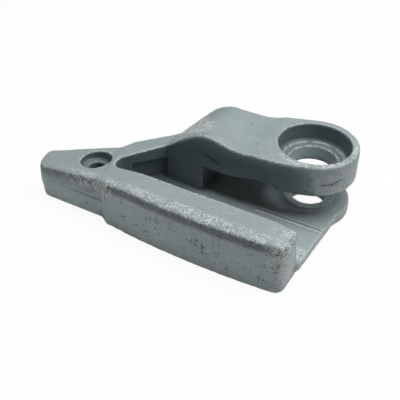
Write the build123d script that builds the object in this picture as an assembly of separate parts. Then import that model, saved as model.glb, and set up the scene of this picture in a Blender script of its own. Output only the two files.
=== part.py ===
from build123d import *
import math
import os

# One steel casting: a corner adapter that carries one bucket tooth and bolts over a bucket's lip.
# All sizes are in millimetres.
# The origin is on the axis of the lip bolt, at the level that the casting rests on.
# +X points to the rear, away from the tooth, +Y to the middle of the bucket and +Z up.

# Lip bolt and its seat
strap_bore_radius = 18.5
strap_bore_land = 1.6
plate_bore_radius = 16.4
counterbore_radius = 31.9
counterbore_floor_bevel = 2.4
counterbore_rim_bevel = 1.0
seat_thickness = 14.2
seat_cone_width = 3.2
bore_mouth_bevel = 2.4

# Base plate under the lip
plate_top = 13.6
plate_thickness = 9.4
plate_rear_inset = 3.6
plate_rear_skew = 2.0
plate_corner_radius = 5.0
plate_lap = 3.0
plate_far_inset = 24.0
plate_edge_radius = 2.4
bolt_boss_radius = 37.0
bolt_boss_bevel = 2.2
bolt_ring_radius = 25.0
bolt_ring_height = 2.0
bolt_ring_bevel = 1.6
ridge_width = 4.6
ridge_height = 0.9
ridge_length = 62.0
ridge_place = -44.0

# Strap over the lip
lip_gap = 24.0
strap_top = 69.1
strap_near = -46.5
strap_near_front = -108.0
strap_far_inset = 25.8
strap_end_wall = 7.5
strap_blend_start = -42.0
strap_blend_angle = 70.0
strap_flare_angle = 20.0
strap_edge_radius = 2.0
strap_pad_radius = 46.0
strap_pad_bevel = 3.4
strap_pad_lap = 2.0
hump_rise = (-108.3, 62.0)
hump_top = (-86.0, 72.8)
hump_dip = (-57.0, 68.2)
hump_end = (-40.0, 69.1)

# Throat between strap and plate
throat_front = -85.5
throat_front_height = 27.0
throat_sag = (-66.0, 26.0)
throat_arch = (-34.0, 31.5)

# Outer leg beside the bucket's side wall
leg_rear = 28.8
leg_inner = -92.2
leg_outer_middle = -124.8
leg_outer_rear = -121.2
leg_height = 49.1
leg_top_radius = 6.5
leg_corner_radius = 8.8
leg_base_radius = 2.0

# Head that joins the leg, the strap and the plate to the nose
top_slope = 0.13
pin_top_drop = 6.7
shoulder_near = (-141.9, -118.8)
shoulder_far = (-156.5, -47.6)
shoulder_front_near = (-149.5, -113.8)
shoulder_front_far = (-162.3, -58.0)
head_far_bend = (-123.0, -17.0)
flank_front = -105.6
head_edge_radius = 2.5
head_corner_radius = 4.0

# Wedge slot for the bucket's side wall
slot_end_radius = 10.8
slot_far_corner = (-124.2, -43.9)
slot_far_angle = 50.0
slot_edge_radius = 1.2
pocket_top = 34.8
pocket_depth = 4.5
pocket_front = -145.5

# Nose that the tooth slides over
nose_axis_angle = 13.0
nose_root = (-154.5, -85.9)
nose_root_width = 61.0
nose_root_cover = 6.0
nose_length = 69.0
nose_taper_angle = 13.0
nose_step = 0.7
nose_floor_gap = 1.0
nose_draft_angle = 3.0
nose_parting_height = 21.0
nose_tip_near_radius = 9.5
nose_tip_far_radius = 6.2
nose_edge_radius = 4.2

# Tooth pin
pin_place = (-172.2, -87.3)
pin_bore_radius = 7.3
retainer_radius = 13.8
retainer_depth = 8.2
retainer_rim_bevel = 0.8

# How far a cutting tool runs past the casting
clear = 20.0

# How far off a point may lie and still count as on an edge's place
near_by = 1.0

# Places that follow from the sizes above
plate_rear = bolt_boss_radius - plate_rear_inset
plate_far = bolt_boss_radius - plate_far_inset
strap_end_radius = counterbore_radius + strap_end_wall
strap_far = strap_end_radius - strap_far_inset
top_slope_height = leg_height - pin_top_drop


def along(angle):
    """Unit vector in plan, turned from +X by an angle in degrees."""
    return Vector(math.cos(math.radians(angle)), math.sin(math.radians(angle)))


def prism(points, low, high):
    """Solid between two heights over a straight-edged plan."""
    plan = make_face(Polyline(*points, close=True))
    return Pos(0, 0, low) * extrude(plan, high - low)


def drum(radius, low, high, place=(0, 0)):
    """Upright cylinder between two heights."""
    return Pos(place[0], place[1], low) * extrude(Circle(radius), high - low)


def side_view(outline, near, far):
    """Solid that has one side view between two depths along Y."""
    face = Plane.XZ * make_face(outline)
    return Pos(0, far, 0) * extrude(face, far - near)


def upright_edge(solid, x, y):
    """The vertical edge of a solid that passes nearest to a point in plan."""
    edges = solid.edges().filter_by(Axis.Z)
    return min(edges, key=lambda edge: math.hypot(edge.center().X - x, edge.center().Y - y))


def edges_at(solid, height):
    """Edges of a solid that lie at one height."""
    return solid.edges().filter_by_position(Axis.Z, height - 0.01, height + 0.01)


def top_height(x):
    """Height of the sloped top of nose and head at one X."""
    return top_slope_height + top_slope * (x - pin_place[0])


def under_top(drop):
    """Everything under the sloped top and the level top of the leg, lowered by a drop."""
    front = nose_root[0] - nose_length - clear
    level_start = pin_place[0] + (leg_height - top_slope_height) / top_slope
    rear = leg_rear + clear
    outline = Polyline(
        (front, -clear),
        (rear, -clear),
        (rear, leg_height - drop),
        (level_start, leg_height - drop),
        (front, top_height(front) - drop),
        close=True,
    )
    return side_view(outline, leg_outer_middle - clear, bolt_boss_radius + clear)


def head_rims(solid):
    """Top edges of the head and leg: those on the near side and rear end, and those on the far side."""
    near_rim = []
    far_rim = []
    for edge in solid.edges():
        middle = edge.position_at(0.5)
        heading = edge.tangent_at(0.5)
        is_top = middle.Z > leg_height / 2 and abs(heading.Z) < 0.5
        is_flank = abs(heading.Y) < 0.9
        if is_top and middle.Y < leg_inner and (is_flank or middle.X > leg_rear - near_by):
            near_rim.append(edge)
        if is_top and middle.Y > leg_inner and middle.X < head_far_bend[0] and is_flank:
            far_rim.append(edge)
    return near_rim, far_rim


def head_and_leg():
    """The head, the outer leg and the web under the strap, with their outer edges rounded."""
    middle = (shoulder_near[0] + leg_rear) / 2
    outer = ThreePointArc(shoulder_near, (middle, leg_outer_middle), (leg_rear, leg_outer_rear))
    rest = Polyline(
        (leg_rear, leg_outer_rear),
        (leg_rear, leg_inner),
        (throat_front, leg_inner),
        (throat_front, strap_far),
        (flank_front, strap_far),
        head_far_bend,
        shoulder_far,
        shoulder_front_far,
        shoulder_front_near,
        shoulder_near,
    )
    solid = extrude(make_face(outer + rest), leg_height + clear)
    solid = fillet(upright_edge(solid, leg_rear, leg_outer_rear), leg_corner_radius)
    solid = fillet(upright_edge(solid, *shoulder_far), head_corner_radius)
    solid &= under_top(0.0)
    solid = fillet(head_rims(solid)[0], leg_top_radius)
    solid = fillet(head_rims(solid)[1], head_edge_radius)
    base = [edge for edge in edges_at(solid, 0.0) if edge.position_at(0.5).Y < leg_inner - clear]
    return fillet(base, leg_base_radius)


def slot():
    """Wedge-shaped way between the leg and the strap, down to the base plate."""
    far_run = (leg_inner - slot_far_corner[1]) / math.tan(math.radians(slot_far_angle))
    apex = (slot_far_corner[0] + far_run, leg_inner)
    mouth = leg_rear + clear
    outline = [apex, (mouth, leg_inner), (mouth, strap_near), (strap_near_front, strap_near), slot_far_corner]
    cut = prism(outline, plate_top, leg_height + clear)
    return fillet(upright_edge(cut, *apex), slot_end_radius)


def slot_pocket():
    """Shallow pocket under the rim of the slot's oblique far wall."""
    run = pocket_front - slot_far_corner[0]
    front = Vector(pocket_front, slot_far_corner[1] + run * math.tan(math.radians(slot_far_angle)))
    rear = Vector(*slot_far_corner)
    inward = along(slot_far_angle + 90.0) * pocket_depth
    corners = [front - inward, rear - inward, rear + inward, front + inward]
    return prism([(corner.X, corner.Y) for corner in corners], plate_top, pocket_top)


def flared_side(radius, far):
    """Far edge of strap or plate: straight, then flared to touch the arc round the bolt."""
    touch = along(90.0 + strap_flare_angle) * radius
    start = (touch.X - (touch.Y - far) / math.tan(math.radians(strap_flare_angle)), far)
    return start, (touch.X, touch.Y)


def strap_plan():
    """Outline of the strap from above: straight flanks, and a round end about the bolt."""
    flare_start, flare_end = flared_side(strap_end_radius, strap_far)
    touch = along(-strap_blend_angle) * strap_end_radius
    near_end = (touch.X, touch.Y)
    near_start = (strap_blend_start, strap_near)
    straight = Polyline(
        near_start,
        (strap_near_front, strap_near),
        slot_far_corner,
        head_far_bend,
        (flank_front, strap_far),
        flare_start,
        flare_end,
    )
    end_arc = ThreePointArc(flare_end, (strap_end_radius, 0), near_end)
    blend = Spline(near_end, near_start, tangents=[along(-90.0 - strap_blend_angle), (-1, 0)])
    return make_face(straight + end_arc + blend)


def strap():
    """Strap that rises from the head, humps and runs level to the round bolt end."""
    foot = (slot_far_corner[0], top_height(slot_far_corner[0]))
    rear = strap_end_radius + clear
    rise = Spline(foot, hump_rise, hump_top, hump_dip, hump_end)
    frame = Polyline(hump_end, (rear, strap_top), (rear, plate_top), (foot[0], plate_top), foot)
    solid = extrude(strap_plan(), hump_top[1] + clear)
    solid &= side_view(rise + frame, strap_near - clear, strap_end_radius + clear)
    rim = []
    for edge in solid.edges():
        middle = edge.center()
        is_level = abs(edge.tangent_at(0.5).Z) < 0.9
        runs_across = abs(edge.tangent_at(0.5).Y) > 0.99 and edge.geom_type == GeomType.LINE
        if middle.Z > foot[1] + near_by and is_level and not runs_across:
            rim.append(edge)
    solid = fillet(rim, strap_edge_radius)
    return solid - throat() + strap_pad()


def throat():
    """Gap for the bucket's lip between strap and plate, seen from the side."""
    rear = strap_end_radius + clear
    front_top = (throat_front, plate_top + throat_front_height)
    sag = (throat_sag[0], plate_top + throat_sag[1])
    arch = (throat_arch[0], plate_top + throat_arch[1])
    ceiling = Spline(front_top, sag, arch)
    frame = Polyline(arch, (rear, arch[1]), (rear, plate_top), (throat_front, plate_top), front_top)
    return side_view(ceiling + frame, strap_near - clear, strap_end_radius + clear)


def strap_pad():
    """Flat pad under the strap's round end, where the lip is clamped."""
    low = plate_top + lip_gap
    high = plate_top + throat_arch[1] + strap_pad_lap
    pad = Pos(0, 0, low) * extrude(strap_plan() & Circle(strap_pad_radius), high - low)
    return chamfer(edges_at(pad, low), strap_pad_bevel)


def base_plate():
    """Thin plate under the lip, with a round boss below the bolt."""
    flare_start, flare_end = flared_side(bolt_boss_radius, plate_far)
    rear_place = math.sqrt(bolt_boss_radius ** 2 - plate_rear ** 2)
    near = leg_inner - plate_lap
    end_arc = ThreePointArc(flare_end, (bolt_boss_radius, 0), (plate_rear, -rear_place))
    rest = Polyline(
        (plate_rear, -rear_place),
        (plate_rear - plate_rear_skew, near),
        (throat_front, near),
        (throat_front, plate_far),
        flare_start,
        flare_end,
    )
    low = plate_top - plate_thickness
    solid = Pos(0, 0, low) * extrude(make_face(end_arc + rest), plate_thickness)
    solid = fillet(upright_edge(solid, plate_rear, near), plate_corner_radius)
    solid = fillet(edges_at(solid, low), plate_edge_radius)
    boss = drum(bolt_boss_radius, 0.0, plate_top)
    return solid + chamfer(edges_at(boss, 0.0), bolt_boss_bevel)


def nose():
    """Tapered nose, drafted both ways from the parting line at half its height."""
    axis = along(180.0 + nose_axis_angle)
    across = along(90.0 + nose_axis_angle)
    taper = math.tan(math.radians(nose_taper_angle))
    root = Vector(*nose_root) - axis * nose_root_cover
    tip = Vector(*nose_root) + axis * nose_length
    half_root = nose_root_width / 2 + nose_root_cover * taper
    half_tip = nose_root_width / 2 - nose_length * taper
    corners = [
        root + across * half_root,
        tip + across * half_tip,
        tip - across * half_tip,
        root - across * half_root,
    ]
    plan = make_face(Polyline(*[(corner.X, corner.Y) for corner in corners], close=True))
    plan = fillet(plan.vertices().sort_by_distance(corners[1])[:1], nose_tip_far_radius)
    plan = fillet(plan.vertices().sort_by_distance(corners[2])[:1], nose_tip_near_radius)
    upper = extrude(plan, leg_height - nose_parting_height, taper=nose_draft_angle)
    lower = extrude(plan, -(nose_parting_height - nose_floor_gap), taper=nose_draft_angle)
    solid = Pos(0, 0, nose_parting_height) * (upper + lower)
    solid &= under_top(nose_step)
    rim = []
    for edge in solid.edges():
        middle = edge.center()
        is_parting = abs(middle.Z - nose_parting_height) < near_by
        is_upright = abs(edge.tangent_at(0.5).Z) > 0.9
        is_root = (middle - root).dot(axis) < near_by
        if not is_parting and not is_upright and not is_root:
            rim.append(edge)
    return fillet(rim, nose_edge_radius)


def bolt_way():
    """Way for the lip bolt: counterbore, conical seat, short bore with a flared mouth, lower bore."""
    strap_low = plate_top + lip_gap
    floor = strap_low + seat_thickness
    head_room = drum(counterbore_radius, floor, strap_top + clear)
    head_room = chamfer(edges_at(head_room, floor), counterbore_floor_bevel)
    land_bottom = strap_low + bore_mouth_bevel
    land_top = land_bottom + strap_bore_land
    mouth_radius = strap_bore_radius + bore_mouth_bevel
    profile = Polyline(
        (0, 0, strap_low - lip_gap / 2),
        (mouth_radius, 0, strap_low - lip_gap / 2),
        (mouth_radius, 0, strap_low),
        (strap_bore_radius, 0, land_bottom),
        (strap_bore_radius, 0, land_top),
        (strap_bore_radius + seat_cone_width, 0, floor),
        (0, 0, floor),
        close=True,
    )
    upper_bore = revolve(make_face(profile), Axis.Z)
    lower_bore = drum(plate_bore_radius, -clear, strap_low)
    return head_room + upper_bore + lower_bore


def pin_way():
    """Way for the tooth pin through the nose, with the round recess of its retainer."""
    top = top_height(pin_place[0]) - nose_step
    bore = drum(pin_bore_radius, -clear, top + clear, pin_place)
    return bore + drum(retainer_radius, top - retainer_depth, top + clear, pin_place)


def seat_ring():
    """Low ring round the bolt hole on the plate."""
    top = plate_top + bolt_ring_height
    ring = drum(bolt_ring_radius, plate_top - plate_thickness / 2, top)
    return chamfer(edges_at(ring, top), bolt_ring_bevel)


def ridge():
    """Low cast ridge on the plate between the slot's floor and the lip's seat."""
    half = ridge_width / 2
    outline = ThreePointArc((-half, 0), (0, ridge_height), (half, 0)) + Line((half, 0), (-half, 0))
    bar = extrude(Plane.YZ * make_face(outline), ridge_length / 2, both=True)
    return Pos(0, ridge_place, plate_top) * bar


def slot_rim(solid):
    """Top edges round the slot: along the leg, round its closed end and along the oblique wall."""
    cutter = slot()
    rim = []
    for edge in solid.edges():
        middle = edge.position_at(0.5)
        is_top = middle.Z > pocket_top + near_by and abs(edge.tangent_at(0.5).Z) < 0.5
        beside_strap = middle.Y > strap_near
        if is_top and not beside_strap and cutter.distance_to(Vertex(*middle)) < 0.01:
            rim.append(edge)
    return rim


def hole_rims(solid):
    """Mouths of the counterbore and of the retainer's recess."""
    counterbore_rim = []
    retainer_rim = []
    for edge in solid.edges():
        middle = edge.bounding_box().center()
        if edge.geom_type == GeomType.CIRCLE and math.isclose(edge.radius, counterbore_radius):
            if middle.Z > strap_top - 0.1:
                counterbore_rim.append(edge)
        if edge.geom_type == GeomType.ELLIPSE:
            if math.hypot(middle.X - pin_place[0], middle.Y - pin_place[1]) < near_by:
                retainer_rim.append(edge)
    return counterbore_rim, retainer_rim


def casting():
    """The whole casting."""
    solid = head_and_leg() + nose() - slot() - slot_pocket()
    solid = fillet(slot_rim(solid), slot_edge_radius)
    solid += strap() + base_plate() + seat_ring() + ridge()
    solid -= bolt_way() + pin_way()
    solid = chamfer(hole_rims(solid)[0], counterbore_rim_bevel)
    return chamfer(hole_rims(solid)[1], retainer_rim_bevel)


adapter = casting()
os.makedirs("parts", exist_ok=True)
export_step(adapter, "parts/adapter.step")
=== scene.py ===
import math

import bmesh
import bpy
import numpy as np
from mathutils import Matrix, Vector, noise
from mathutils.bvhtree import BVHTree


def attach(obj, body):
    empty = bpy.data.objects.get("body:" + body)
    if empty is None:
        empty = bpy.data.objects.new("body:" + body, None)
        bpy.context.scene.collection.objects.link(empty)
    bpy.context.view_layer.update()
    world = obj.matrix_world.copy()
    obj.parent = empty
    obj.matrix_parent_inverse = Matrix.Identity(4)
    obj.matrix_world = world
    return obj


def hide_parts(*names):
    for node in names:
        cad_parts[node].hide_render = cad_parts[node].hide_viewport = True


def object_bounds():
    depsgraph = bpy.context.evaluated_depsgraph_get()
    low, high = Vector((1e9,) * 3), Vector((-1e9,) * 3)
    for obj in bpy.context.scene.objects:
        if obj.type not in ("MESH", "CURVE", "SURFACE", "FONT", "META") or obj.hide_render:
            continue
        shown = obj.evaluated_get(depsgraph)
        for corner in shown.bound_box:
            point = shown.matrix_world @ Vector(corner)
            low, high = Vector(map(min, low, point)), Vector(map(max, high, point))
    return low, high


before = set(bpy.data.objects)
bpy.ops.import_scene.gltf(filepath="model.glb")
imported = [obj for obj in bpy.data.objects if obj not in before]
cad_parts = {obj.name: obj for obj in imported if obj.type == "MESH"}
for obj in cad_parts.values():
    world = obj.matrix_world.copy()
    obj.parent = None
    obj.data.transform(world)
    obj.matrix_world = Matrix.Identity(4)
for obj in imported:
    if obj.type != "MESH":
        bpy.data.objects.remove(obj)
cad_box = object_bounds()


# The viewpoint: a product photograph taken from the outer side of the adapter, from above and
# about 0.7 m away. The place, the tilt and the lens are those that lay the casting over its picture.
camera_place = Vector((0.17663, -0.52857, 0.42531))
camera_yaw = -0.5009
camera_pitch = 0.6562
camera_roll = 0.0259
camera_lens = 67.5

level = math.cos(camera_pitch)
ahead = Vector((math.sin(camera_yaw) * level, math.cos(camera_yaw) * level, -math.sin(camera_pitch)))
side = Vector((math.cos(camera_yaw), -math.sin(camera_yaw), 0.0))
above = side.cross(ahead)
picture_right = side * math.cos(camera_roll) + above * math.sin(camera_roll)
picture_up = above * math.cos(camera_roll) - side * math.sin(camera_roll)
camera = bpy.data.objects.new("camera", bpy.data.cameras.new("camera"))
camera.data.sensor_width = 36.0
camera.data.lens = camera_lens
turn = Matrix((picture_right, picture_up, -ahead)).transposed()
camera.matrix_world = Matrix.Translation(camera_place) @ turn.to_4x4()
bpy.context.scene.collection.objects.link(camera)
bpy.context.scene.camera = camera


# The casting: one piece of steel poured in a sand mould, so every corner is a little soft and the
# skin waves by some tenths of a millimetre. A fine even mesh is laid over the CAD shape, relaxed
# like fettled metal and lowered a little, and it stays inside the CAD box.
mesh_spacing = 0.0013
soften_rounds = 1
nose_rounds = 22
tip_rounds = 16
leg_rounds = 34
rear_rounds = 30
strap_rounds = 60
end_bow = 0.0026
end_draw = 0.0014
wave_length = 0.024
wave_depth = 0.00030
lump_length = 0.0040
lump_depth = 0.00018
rough_length = 0.0038
rough_depth = 0.00060
edge_row_length = 0.012
eye_edge_length = 0.0030
eye_edge_depth = 0.00080
inner_lump_length = 0.0045
inner_lump_depth = 0.0012
seat_groove_depth = 0.0005
dent_depth = 0.0018
parting_depth = 0.0006
scar_depth = 0.0013
cold_lap_depth = 0.0010
joint_depth = 0.0002
furrow_bend_length = 0.007

casting = bpy.data.objects.new("cast_adapter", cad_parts["adapter"].data.copy())
bpy.context.scene.collection.objects.link(casting)
shell = bmesh.new()
shell.from_mesh(casting.data)
bmesh.ops.remove_doubles(shell, verts=shell.verts, dist=1e-6)
shell.to_mesh(casting.data)
shell.free()
remesh = casting.modifiers.new("even mesh", "REMESH")
remesh.mode = "VOXEL"
remesh.voxel_size = mesh_spacing
fit = casting.modifiers.new("back to the CAD surface", "SHRINKWRAP")
fit.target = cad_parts["adapter"]
fit.wrap_method = "NEAREST_SURFACEPOINT"
soften = casting.modifiers.new("soft corners", "SMOOTH")
soften.factor = 0.5
soften.iterations = soften_rounds
evaluated = casting.evaluated_get(bpy.context.evaluated_depsgraph_get())
skin = bpy.data.meshes.new_from_object(evaluated)
casting.modifiers.clear()
casting.data = skin
skin.materials.clear()

count = len(skin.vertices)
places = np.empty(count * 3)
skin.vertices.foreach_get("co", places)
places = places.reshape(-1, 3)
links = np.empty(len(skin.edges) * 2, dtype=np.int64)
skin.edges.foreach_get("vertices", links)
links = links.reshape(-1, 2)
neighbours = np.bincount(links.ravel(), minlength=count)


def spread(values):
    """The mean of each point's neighbours."""
    total = np.bincount(links[:, 0], weights=values[links[:, 1]], minlength=count)
    total += np.bincount(links[:, 1], weights=values[links[:, 0]], minlength=count)
    return total / neighbours


def ramp(values, low, high):
    """0 below low, 1 above high and a smooth rise between them."""
    share = np.clip((values - low) / (high - low), 0.0, 1.0)
    return share * share * (3.0 - 2.0 * share)


def swell(length, seed):
    """Even noise between about -1 and 1 whose bumps are as long as length."""
    shift = Vector((seed, 0.37 * seed, 0.71 * seed))
    return np.array([noise.noise(Vector(place) / length + shift) for place in places])


def bumps(length, seed):
    """The upper half of the noise: single bumps on an even ground."""
    return np.clip(swell(length, seed), 0.0, 1.0)


def ball(centre, radius):
    """1 at a place in millimetres and 0 beyond a radius around it."""
    gap = np.linalg.norm(1000.0 * places - np.array(centre), axis=1)
    return 1.0 - ramp(gap, 0.35 * radius, radius)


def evened(values, pull, rounds):
    """The values after some rounds that pull each point towards its neighbours' mean."""
    for round_number in range(rounds):
        values = values + pull * (spread(values) - values)
    return values


def settle(share, rounds):
    """Rounds off the skin where share is above 0."""
    for axis in range(3):
        places[:, axis] = evened(places[:, axis], 0.5 * share, rounds)


# The nose's end bows out above the mould's parting line, and its near corner is drawn in below it.
# The sizes above are in metres, but x, y, z and all places on the casting are in millimetres. The two
# limits of a ramp say where a zone begins and where it is at its full strength.
pin_centre = (-172.2, -87.3)
leg_start = (-150.0, -146.0)
x, y, z = 1000.0 * places.T
nose_end = ramp(-x, 200.0, 214.0)
bowed = nose_end * ramp(z, 24.0, 34.0) * np.clip(1.0 - ((y + 98.5) / 14.0) ** 2, 0.0, 1.0)
drawn = nose_end * (1.0 - ramp(z, 10.0, 22.0)) * ramp(-y, 100.0, 112.0)
places[:, 0] += end_draw * drawn - end_bow * bowed

# The nose's edges, the leg's top edge and rear corner, and the strap's edge are worn rounder.
pin_gap = np.hypot(x - pin_centre[0], y - pin_centre[1])
nose_part = ramp(-x, 152.5, 160.0) * ramp(z, 16.0, 24.0) * ramp(pin_gap, 15.5, 18.5)
nose_part *= ramp(-y, 92.0, 100.0) * ramp(x, -214.0, -206.0)
tip_part = ramp(-x, 202.0, 210.0) * ramp(z, 4.0, 8.0)
leg_part = ramp(-y, 100.0, 106.0) * ramp(z, 26.0, 34.0) * ramp(x, *leg_start)
rear_part = ramp(x, 8.0, 20.0) * ramp(-y, 86.0, 90.0) * ramp(z, 22.0, 32.0)
strap_part = ramp(z, 65.5, 66.5) * ramp(x, -64.0, -56.0) * (1.0 - ramp(x, -26.0, -18.0))
strap_part *= ramp(np.hypot(x, y), 35.0, 37.0) * ramp(y, -44.0, -40.0) * (1.0 - ramp(y, 10.0, 13.0))
settle(nose_part, nose_rounds)
settle(tip_part, tip_rounds)
settle(leg_part, leg_rounds)
settle(rear_part, rear_rounds)
settle(strap_part, strap_rounds)
skin.vertices.foreach_set("co", places.ravel())
skin.update()
facing = np.empty(count * 3)
skin.vertices.foreach_get("normal", facing)
facing = facing.reshape(-1, 3)

# Corners that stand out lose their paint and are rough from fettling; inner corners are painted
# darker as painted shade. Both are read from how far each point stands above the mean of its neighbours.
bulge = np.zeros(count)
for axis in range(3):
    bulge -= (spread(places[:, axis]) - places[:, axis]) * facing[:, axis]
bulge = evened(bulge, pull=0.5, rounds=4) / mesh_spacing
corner = ramp(bulge, 0.018, 0.075)
crease_shade = evened(ramp(-bulge, 0.010, 0.070), pull=0.5, rounds=3)

# The deep hollows get painted shade: their paint is darkened by how occluded they are, which comes
# from the share of lines out of a point that meet the casting again. Lines that only
# graze the skin don't count, and the others count by how straight they leave it.
reach_of_walls = 0.080
line_start = 0.0008
least_lean = 0.1
line_count = 36
spiral = math.pi * (3.0 - math.sqrt(5.0))
lines = []
for number in range(line_count):
    rise = 1.0 - (2.0 * number + 1.0) / line_count
    flat = math.sqrt(1.0 - rise * rise)
    lines.append((math.cos(spiral * number) * flat, math.sin(spiral * number) * flat, rise))
lines = np.array(lines)
walls = BVHTree.FromPolygons([tuple(place) for place in places],
                             [tuple(face.vertices) for face in skin.polygons])
lean = facing @ lines.T
occlusion_shade = np.zeros(count)
for number in range(count):
    start = Vector(places[number] + facing[number] * line_start)
    met = 0.0
    total = 0.0
    for chosen in range(number % 2, line_count, 2):
        weight = lean[number, chosen]
        if weight < least_lean:
            continue
        total += weight
        if walls.ray_cast(start, Vector(lines[chosen]), reach_of_walls)[0] is not None:
            met += weight
    occlusion_shade[number] = met / total
occlusion_shade = evened(occlusion_shade, pull=0.7, rounds=8)

# The painted shade is mostly taken off the plate's upward faces, less so around its bolt hole, and in
# part off the slope of the bolt seat; the worn bright corners fade where the painted shade is deep.
x, y, z = 1000.0 * places.T
upward = facing[:, 2]
upright = 1.0 - ramp(np.abs(upward), 0.35, 0.8)
on_leg = ramp(x, *leg_start)
on_nose = ramp(-x, 151.0, 154.0)
bolt_gap = np.hypot(x, y)
unshaded_plate = ramp(upward, 0.5, 0.9) * (z < 30.0) * (0.35 + 0.65 * ramp(bolt_gap, 22.0, 44.0))
occlusion_shade *= 1.0 - unshaded_plate * ramp(x, -140.0, -55.0)
occlusion_shade *= 1.0 - 0.6 * (bolt_gap < 21.5) * (z > 40.0)
corner *= 1.0 - 0.8 * ramp(occlusion_shade, 0.25, 0.45)

# Rough zones: the outer leg's top edge with its row of lumps and the leg's rear corner, the nose's
# upper edge and the shoulder behind it, the rim and rear wall of the bolt eye, the steps of the
# bolt seat, the hump's front, and a lump in the plate's inner corner.
# The bright grain of these zones is partly a painted highlight: the leg's top edge gets it only where it
# faces up, and the hump's front carries a patch of it.
leg_edge = ramp(-y, 110.0, 113.5) * on_leg * ramp(upward, 0.45, 0.65)
leg_edge *= 0.50 + 0.50 * ramp(swell(edge_row_length, 51.0), -0.3, 0.4)
leg_end_edge = 0.9 * ramp(x, 12.0, 22.0) * ramp(-y, 88.0, 94.0) * ramp(z, 30.0, 40.0)
rear_corner = 0.6 * ramp(x, 22.0, 26.5) * ramp(-y, 88.0, 106.0) * ramp(z, 4.0, 12.0)
nose_edge = 0.7 * ramp(-y, 104.0, 109.0) * ramp(z, 29.0, 34.0) * on_nose * ramp(x, -212.0, -160.0)
shoulder = 0.6 * (1.0 - ramp(np.abs(x + 145.5), 0.8, 2.2)) * ramp(-y, 110.0, 113.0) * ramp(z, 4.0, 10.0)
shoulder_top = ball((-142, -117, 41), 12)
eye_rim = ramp(bolt_gap, 32.5, 33.5) * (1.0 - ramp(bolt_gap, 37.5, 40.0)) * ramp(z, 64.0, 66.5)
eye_rim *= 0.9 * ramp(x - y, 0.0, 24.0) * ramp(x, -30.0, -10.0)
eye_wall = 0.28 * ramp(x, 0.0, 14.0) * ramp(z, 36.0, 42.0) * (z < 68.0) * ramp(bolt_gap, 34.5, 36.5)
seat_outer = 0.8 * ramp(bolt_gap, 26.4, 27.4) * (1.0 - ramp(bolt_gap, 29.0, 30.2))
seat_inner = ramp(bolt_gap, 20.8, 21.5) * (1.0 - ramp(bolt_gap, 22.2, 22.9))
seat = np.maximum(seat_outer, seat_inner) * ramp(z, 47.0, 49.0) * (1.0 - ramp(z, 55.0, 58.0))
hump_front = np.clip(1.2 * ball((-111, -20, 60), 20) + 1.4 * ball((-98, -28, 68), 17), 0.0, 1.0)
inner_lump = ball((26, -80, 14), 11)
rough = np.maximum.reduce([leg_edge, leg_end_edge, rear_corner, nose_edge, shoulder, shoulder_top,
                           eye_rim, eye_wall, seat, hump_front, inner_lump])

# The low ridge on the plate is rough along both its sides, and painted darker between them as painted shade.
ridge_middle = -44.0
ridge = ramp(33.5 - np.abs(x), 0.0, 3.0) * (1.0 - ramp(np.abs(y - ridge_middle), 6.0, 8.0))
ridge *= ramp(z, 12.5, 13.2) * (1.0 - ramp(z, 15.0, 16.0))

# Below the rough edges of the leg and the nose, where the skin turns from facing up to facing sideways, the
# paint is darkened as painted shade and is a little grainy.
turning = ramp(upward, 0.02, 0.10) * (1.0 - ramp(upward, 0.50, 0.76))
below_edge = ramp(-y, 109.0, 113.0) * on_leg * (1.0 - 0.7 * ramp(x, 5.0, 22.0))
below_nose = 0.9 * ramp(-y, 100.0, 104.0) * ramp(z, 22.0, 26.0) * on_nose
painted_shade_band = turning * np.maximum(below_edge, below_nose)
rough = np.maximum(rough, 0.15 * painted_shade_band)

# Pits gather where the sand broke away: centre along X and height, and reach, in millimetres.
outer_pits = [
    (-140, 36, 7), (-123, 35, 5), (-120, 20, 6), (-108, 17, 5), (-98, 12, 6), (-87, 31, 6), (-70, 32, 7),
    (-63, 43, 5), (-47, 25, 10), (-40, 21, 8), (-26, 40, 5), (-18, 10, 6), (-4, 41, 6), (3, 44, 5),
    (14, 26, 6), (22, 26, 7), (10, 12, 6),
]
nose_pits = [(-160, 38, 4), (-162, 30, 3), (-165, 15, 4), (-151, 9, 5), (-200, 26, 4)]
pits = np.zeros(count)
for across, height, reach in outer_pits + nose_pits:
    gap = np.hypot(x - across, z - height)
    pits = np.maximum(pits, 1.0 - ramp(gap, 0.3 * reach, reach))
leg_end = ramp(x, 26.5, 28.0) * ramp(-y, 60.0, 70.0)
outer_side = np.maximum(ramp(-y, 100.0, 108.0), leg_end) * (0.55 + 0.45 * pits)
eye_side = ramp(z, 36.0, 42.0) * ramp(x, 4.0, 16.0) * (bolt_gap > 34.0)
far_side = ramp(facing[:, 1], 0.2, 0.6) * (1.0 - ramp(occlusion_shade, 0.05, 0.15))
top_side = 0.35 * ramp(upward, 0.80, 0.95) * (z > 30.0)
chips = np.maximum(ball((-41, -29, 69), 5), ball((-29, -35, 69), 3))
pitted = upright * (outer_side + np.maximum(0.60 * eye_side, 0.55 * far_side))
pitted = np.clip(np.maximum.reduce([pitted, chips, top_side]), 0.0, 1.0)


def furrow(start, end, outward, width, wander):
    """1 along a wandering line between two places, on the side that faces outward."""
    first = np.array(start)
    run = np.array(end) - first
    length = np.linalg.norm(run)
    run = run / length
    outward = np.array(outward)
    offset = 1000.0 * places - first
    along = offset @ run
    bend = wander * swell(furrow_bend_length, 5.0 * length)
    distance = np.abs(offset @ np.cross(run, outward) - bend)
    near = ramp(facing @ outward, 0.3, 0.7)
    inside = np.abs(offset @ outward) < 6.0
    ends = ramp(along, -1.0, 2.0) * ramp(length - along, -1.0, 2.0)
    return (1.0 - ramp(distance, 0.2 * width, width)) * near * inside * ends


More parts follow.
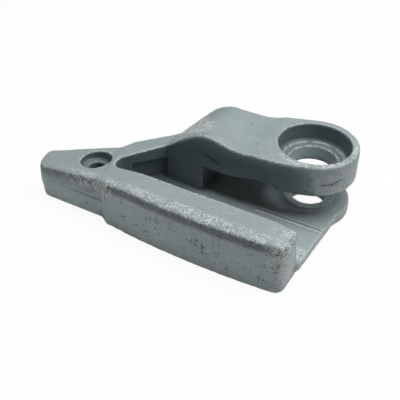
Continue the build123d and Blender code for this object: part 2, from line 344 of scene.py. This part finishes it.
# Foundry marks: the mould's parting line along the nose's near side, a slanted scar on the strap's
# outer side, a cold lap in the strap's end wall, two faint core joints on the leg's outer side, and
# the rippled patch low on the leg's rear end.
nearward = (0, -1, 0)
parting = furrow((-208, -114, 22.5), (-146, -116, 22.5), nearward, 1.4, 0.6)
parting *= 0.35 + 0.65 * ramp(x, -190.0, -168.0)
scar = furrow((-84.5, -46.5, 54.5), (-69.0, -46.5, 47.8), nearward, 1.9, 0.6)
cold_lap = furrow((21.0, -33.0, 50.4), (34.5, -19.5, 54.5), (0.70, -0.71, 0), 1.3, 0.9)
joints = np.maximum(furrow((-32.0, -124, 42), (-32.0, -124, 20), nearward, 1.1, 0.3),
                    furrow((-26.5, -124, 40), (-26.5, -124, 18), nearward, 1.1, 0.3))
marks = np.maximum.reduce([0.8 * parting, scar, cold_lap, 0.35 * joints])
scraped = ramp(x, 10.0, 20.0) * (1.0 - ramp(x, 27.0, 28.5)) * ramp(-y, 106.0, 112.0)
scraped *= 1.0 - ramp(z, 12.0, 20.0)

# The skin is lowered by the waves, the lumps and each mark. What the bow of the nose's end pushed
# out of the CAD box comes back to it.
seat_groove = np.exp(-((bolt_gap - 24.8) / 1.1) ** 2) * (z > 47.0) * (z < 56.0)
dent = ball((28.5, -83.5, 13.6), 3.6)
lowering = wave_depth * (0.5 + 0.5 * swell(wave_length, 3.0))
lowering += lump_depth * (0.5 + 0.5 * swell(lump_length, 11.0)) * (0.25 + 1.6 * corner)
lowering += rough_depth * bumps(rough_length, 23.0) * np.maximum(rough, 0.6 * corner)
lowering += eye_edge_depth * bumps(eye_edge_length, 31.0) * corner * eye_side
lowering += inner_lump_depth * bumps(inner_lump_length, 41.0) * inner_lump
lowering += seat_groove_depth * seat_groove + dent_depth * dent + parting_depth * parting
lowering += scar_depth * scar + cold_lap_depth * cold_lap + joint_depth * joints
places = places - facing * lowering[:, None]
places = np.clip(places, np.array(cad_box[0]), np.array(cad_box[1]))
skin.vertices.foreach_set("co", places.ravel())
fields = {"corner": corner, "crease_shade": crease_shade, "occlusion_shade": occlusion_shade, "rough": rough, "ridge": ridge,
          "painted_shade_band": painted_shade_band, "pitted": pitted, "marks": marks, "scraped": scraped}
for name, values in fields.items():
    field = skin.attributes.new(name, "FLOAT", "POINT")
    field.data.foreach_set("value", values.astype(np.float32))
skin.polygons.foreach_set("use_smooth", np.ones(len(skin.polygons), dtype=bool))
skin.update()


# The finish: satin grey enamel sprayed straight on the sand-cast skin. It follows every grain of
# the sand, is thin on the rough edges, where it is painted bright as worn paint and painted highlight,
# and has open pinholes on the upright sides. The sand itself is too fine to show, so its grain is drawn four
# times as coarse.
paint_shade = "94A1A2"
paint_light = "A1ADAE"
# The next three colours are the bare grain, worn paint and painted highlight; the dark paint of stains,
# ripples and painted shade; and the painted shade of the deep hollows.
thin_paint_and_glint = "D8DEDE"
stain_and_shade_paint = "525E60"
deep_shade_colour = "4E5A5C"
pinhole_dark = "3B4645"
paint_dullness = 0.35
patch_dullness = 0.14
sand_grain = 0.0003
drawn_coarser = 4.0
sand_patch = 0.0045
pinhole_size = 0.0017
pinhole_crowding = 0.19
cloud_size = 0.035
stain_size = 0.009
bloom_size = 0.006
least_stain = 0.02
more_stain_at_pits = 0.20
corner_wear_and_glint = 0.6
ripple_spacing = 0.0027
ridge_half = 0.0024
ridge_wander = 0.0012
skin_relief = 0.00028


def linear(colour):
    """An sRGB hex colour as linear values for a shader."""
    levels = [int(colour[place:place + 2], 16) / 255 for place in (0, 2, 4)]
    return [v / 12.92 if v <= 0.04045 else ((v + 0.055) / 1.055) ** 2.4 for v in levels] + [1.0]


def add_node(tree, kind, settings, links, output=0):
    """Adds one node, sets its properties and sockets, joins its inputs and gives one output."""
    node = tree.nodes.new(kind)
    for name, value in settings.items():
        if isinstance(name, str) and hasattr(node, name):
            setattr(node, name, value)
        else:
            node.inputs[name].default_value = value
    for name, source in links.items():
        tree.links.new(source, node.inputs[name])
    return node.outputs[output] if node.outputs else node


enamel = bpy.data.materials.new("satin_enamel_on_sand_cast_steel")
enamel.use_nodes = True
tree = enamel.node_tree
tree.nodes.clear()
spot = add_node(tree, "ShaderNodeTexCoord", {}, {}, "Object")
share_of = {}
for name in fields:
    share_of[name] = add_node(tree, "ShaderNodeAttribute", {"attribute_name": name}, {}, "Fac")
patterns = [
    ("grain", sand_grain * drawn_coarser, 3.0), ("patch", sand_patch, 3.0), ("ragged", pinhole_size, 2.0),
    ("cloud", cloud_size, 2.0), ("stain", stain_size, 4.0), ("bloom", bloom_size, 4.0),
]
pattern_of = {}
for name, size, detail in patterns:
    settings = {"Scale": 1 / size, "Detail": detail, "Roughness": 0.6}
    pattern_of[name] = add_node(tree, "ShaderNodeTexNoise", settings, {"Vector": spot})
grain = pattern_of["grain"]
patch = pattern_of["patch"]

# Pinholes are ragged dark marks, dense in the clusters and rare elsewhere. The ridge on the plate
# is two thin rough lines with painted shade between them, and the mould left fine ripples low on the leg's
# rear end.
pocked = add_node(tree, "ShaderNodeMath", {"operation": "MULTIPLY_ADD", 1: pinhole_crowding},
                  {0: share_of["pitted"], 2: pattern_of["ragged"]})
across = add_node(tree, "ShaderNodeSeparateXYZ", {}, {"Vector": spot}, "Y")
shift = -0.5 * ridge_wander - ridge_middle / 1000.0
wander = add_node(tree, "ShaderNodeMath", {"operation": "MULTIPLY_ADD", 1: ridge_wander, 2: shift},
                  {0: patch})
across = add_node(tree, "ShaderNodeMath", {"operation": "ADD"}, {0: across, 1: wander})
from_middle = add_node(tree, "ShaderNodeMath", {"operation": "ABSOLUTE"}, {0: across})
from_side = add_node(tree, "ShaderNodeMath", {"operation": "SUBTRACT", 1: ridge_half}, {0: from_middle})
from_side = add_node(tree, "ShaderNodeMath", {"operation": "ABSOLUTE"}, {0: from_side})
bands = {"wave_type": "BANDS", "bands_direction": "Z", "Scale": math.pi / 10 / ripple_spacing,
         "Distortion": 1.6, "Detail": 1.0, "Detail Scale": 0.6}
ripple = add_node(tree, "ShaderNodeTexWave", bands, {"Vector": spot}, "Fac")
limits = {
    "pinhole": (pocked, 0.765, 0.800), "ridge_line": (from_side, 0.0012, 0.0004),
    "ridge_gap_shade": (from_middle, 0.0018, 0.0008), "scrape": (ripple, 0.55, 0.85),
    "speck": (grain, 0.45, 0.53), "worn": (patch, 0.36, 0.52), "ridge_speck": (grain, 0.34, 0.46),
    "valley": (grain, 0.47, 0.40), "stain": (pattern_of["stain"], 0.50, 0.66),
    "bloom": (pattern_of["bloom"], 0.54, 0.66), "deep_shade": (share_of["occlusion_shade"], 0.12, 0.40),
}
part_of = {}
for name, (source, low, high) in limits.items():
    settings = {"interpolation_type": "SMOOTHSTEP", "From Min": low, "From Max": high}
    part_of[name] = add_node(tree, "ShaderNodeMapRange", settings, {"Value": source})
for name, area in [("ridge_line", "ridge"), ("ridge_gap_shade", "ridge"), ("scrape", "scraped")]:
    part_of[name] = add_node(tree, "ShaderNodeMath", {"operation": "MULTIPLY"},
                             {0: part_of[name], 1: share_of[area]})

# Where the skin is rough, the tops of the grains are painted nearly bare and bright, as worn paint and
# as painted highlight, and the valleys between are darkened as painted shade.
zone = add_node(tree, "ShaderNodeMath", {"operation": "MULTIPLY", 1: corner_wear_and_glint},
                {0: share_of["corner"]})
zone = add_node(tree, "ShaderNodeMath", {"operation": "MAXIMUM"}, {0: zone, 1: share_of["rough"]})
zone = add_node(tree, "ShaderNodeMath", {"operation": "MAXIMUM"}, {0: zone, 1: part_of["ridge_line"]})
worn_and_glint_zone = add_node(tree, "ShaderNodeMath", {"operation": "MULTIPLY"}, {0: zone, 1: part_of["worn"]})
bare_and_glint = add_node(tree, "ShaderNodeMath", {"operation": "MULTIPLY"}, {0: worn_and_glint_zone, 1: part_of["speck"]})
ridge_bare_and_glint = add_node(tree, "ShaderNodeMath", {"operation": "MULTIPLY"},
                      {0: part_of["ridge_line"], 1: part_of["ridge_speck"]})
bare_and_glint = add_node(tree, "ShaderNodeMath", {"operation": "MAXIMUM"}, {0: bare_and_glint, 1: ridge_bare_and_glint})
valley_shade = add_node(tree, "ShaderNodeMath", {"operation": "MULTIPLY"}, {0: zone, 1: part_of["valley"]})
raised = add_node(tree, "ShaderNodeMath", {"operation": "MULTIPLY"}, {0: zone, 1: grain})
uneven = add_node(tree, "ShaderNodeMath",
                  {"operation": "MULTIPLY_ADD", 1: more_stain_at_pits, 2: least_stain},
                  {0: share_of["pitted"]})
stain = add_node(tree, "ShaderNodeMath", {"operation": "MULTIPLY"}, {0: part_of["stain"], 1: uneven})
bloom = add_node(tree, "ShaderNodeMath", {"operation": "MULTIPLY"}, {0: part_of["bloom"], 1: uneven})

# The paint is a little cloudy, and the coats lie over it in this order, each as strong as the table
# says. A Mix node's two colours are its inputs 6 and 7, and what it gives is its output 2.
tone = add_node(tree, "ShaderNodeMix",
                {"data_type": "RGBA", 6: linear(paint_shade), 7: linear(paint_light)},
                {0: pattern_of["cloud"]}, 2)
# The coats of the hollows, the creases, the band below the edges, the gap in the ridge and the grain valleys
# are painted shade; the bare coat is partly painted highlight.
coats = [
    (part_of["speck"], 0.08, stain_and_shade_paint), (stain, 1.0, stain_and_shade_paint), (bloom, 1.0, thin_paint_and_glint),
    (part_of["deep_shade"], 0.72, deep_shade_colour), (share_of["crease_shade"], 0.5, stain_and_shade_paint),
    (share_of["painted_shade_band"], 0.9, stain_and_shade_paint), (part_of["ridge_gap_shade"], 0.6, stain_and_shade_paint),
    (part_of["scrape"], 0.4, stain_and_shade_paint), (valley_shade, 0.4, stain_and_shade_paint),
    (share_of["marks"], 0.8, pinhole_dark), (bare_and_glint, 1.0, thin_paint_and_glint), (part_of["pinhole"], 1.0, pinhole_dark),
]
for cover, strength, colour in coats:
    cover = add_node(tree, "ShaderNodeMath", {"operation": "MULTIPLY", 1: strength}, {0: cover})
    tone = add_node(tree, "ShaderNodeMix", {"data_type": "RGBA", 7: linear(colour)}, {0: cover, 6: tone}, 2)

# The grain and the rough tops stand out of the skin, and the pinholes and ripples go into it. The
# enamel is satin, and duller where the sand's patches stand out.
height = patch
steps = [(grain, 0.22), (raised, 2.8), (part_of["pinhole"], -2.6), (part_of["scrape"], -0.5),
         (part_of["ridge_line"], 2.5)]
for source, amount in steps:
    height = add_node(tree, "ShaderNodeMath", {"operation": "MULTIPLY_ADD", 1: amount},
                      {0: source, 2: height})
relief = add_node(tree, "ShaderNodeBump", {"Strength": 1.0, "Distance": skin_relief}, {"Height": height})
dullness = add_node(tree, "ShaderNodeMath",
                    {"operation": "MULTIPLY_ADD", 1: patch_dullness, 2: paint_dullness}, {0: patch})
paint = add_node(tree, "ShaderNodeBsdfPrincipled", {"Metallic": 0.0, "IOR": 1.5},
                 {"Base Color": tone, "Roughness": dullness, "Normal": relief})
add_node(tree, "ShaderNodeOutputMaterial", {}, {"Surface": paint})
skin.materials.append(enamel)
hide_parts("adapter")
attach(casting, "root")


# The table: a sheet of white paper on a bench in a dark room. The camera sees it white throughout,
# with a faint shadow. For bounced light its colour is white only in a painted pool of light around the
# casting and dark beyond, standing in for where the lamps reach it.
paper_white = "F4F4F4"
unlit_paper = "1C1C1C"
table_half = 2.5
table_place = (-0.15, -0.04, -0.00005)
lit_radius = 0.29
dark_radius = 0.48
shadow_share = 0.07

table = bpy.data.objects.new("table", bpy.data.meshes.new("table"))
bpy.context.scene.collection.objects.link(table)
sheet = bmesh.new()
bmesh.ops.create_grid(sheet, x_segments=1, y_segments=1, size=table_half)
sheet.to_mesh(table.data)
sheet.free()

# The sheet lies a twentieth of a millimetre low, so that the casting's flat underside is just above it.
table.location = table_place
paper = bpy.data.materials.new("white_paper")
paper.use_nodes = True
tree = paper.node_tree
tree.nodes.clear()
ray = add_node(tree, "ShaderNodeLightPath", {}, {}, "Is Camera Ray")
spot = add_node(tree, "ShaderNodeTexCoord", {}, {}, "Object")
away = add_node(tree, "ShaderNodeVectorMath", {"operation": "LENGTH"}, {0: spot}, "Value")
# The painted pool of light: the paper's colour dims from white to dark away from the casting.
painted_light_pool = add_node(tree, "ShaderNodeMapRange",
                {"interpolation_type": "SMOOTHSTEP", "From Min": dark_radius, "From Max": lit_radius},
                {"Value": away})
whole = add_node(tree, "ShaderNodeMath", {"operation": "MAXIMUM"}, {0: painted_light_pool, 1: ray})
pale = add_node(tree, "ShaderNodeMix",
                {"data_type": "RGBA", 6: linear(unlit_paper), 7: linear(paper_white)}, {0: whole}, 2)
matt = add_node(tree, "ShaderNodeBsdfDiffuse", {}, {"Color": pale})
white = add_node(tree, "ShaderNodeEmission", {"Color": linear("FFFFFF"), "Strength": 1.0}, {})
share = add_node(tree, "ShaderNodeMath", {"operation": "MULTIPLY", 1: 1.0 - shadow_share}, {0: ray})
mixed = add_node(tree, "ShaderNodeMixShader", {}, {0: share, 1: matt, 2: white})
add_node(tree, "ShaderNodeOutputMaterial", {}, {"Surface": mixed})
table.data.materials.append(paper)


# The light: one soft box overhead, a stronger one behind at the right, a weak low one in front of
# the nose, and a dark room, so the upright sides are lit mostly by the white table.
room_strength = 0.05


def soft_box(name, place, target, width, depth, power):
    """An area lamp that faces target and isn't seen itself."""
    lamp = bpy.data.objects.new(name, bpy.data.lights.new(name, "AREA"))
    lamp.data.shape = "RECTANGLE"
    lamp.data.size = width
    lamp.data.size_y = depth
    lamp.data.energy = power
    lamp.location = place
    lamp.visible_camera = False
    lamp.rotation_euler = (Vector(target) - Vector(place)).to_track_quat("-Z", "Y").to_euler()
    bpy.context.scene.collection.objects.link(lamp)


middle = (-0.09, -0.04, 0.03)
soft_box("overhead", (-0.30, 0.05, 1.20), middle, 0.7, 0.7, 6.1)
soft_box("right_rear", (0.41, 0.19, 1.09), middle, 0.90, 0.90, 11.0)
soft_box("left_front", (-0.50, -0.45, 0.20), middle, 0.3, 0.3, 0.28)
room = bpy.data.worlds.new("room")
bpy.context.scene.world = room
room.use_nodes = True
tree = room.node_tree
tree.nodes.clear()
dim = add_node(tree, "ShaderNodeBackground", {"Color": linear("FFFFFF"), "Strength": room_strength}, {})
bright = add_node(tree, "ShaderNodeBackground", {"Color": linear("FFFFFF"), "Strength": 1.0}, {})
ray = add_node(tree, "ShaderNodeLightPath", {}, {}, "Is Camera Ray")
mixed = add_node(tree, "ShaderNodeMixShader", {}, {0: ray, 1: dim, 2: bright})
add_node(tree, "ShaderNodeOutputWorld", {}, {"Surface": mixed})

bpy.context.scene.view_settings.view_transform = "Standard"
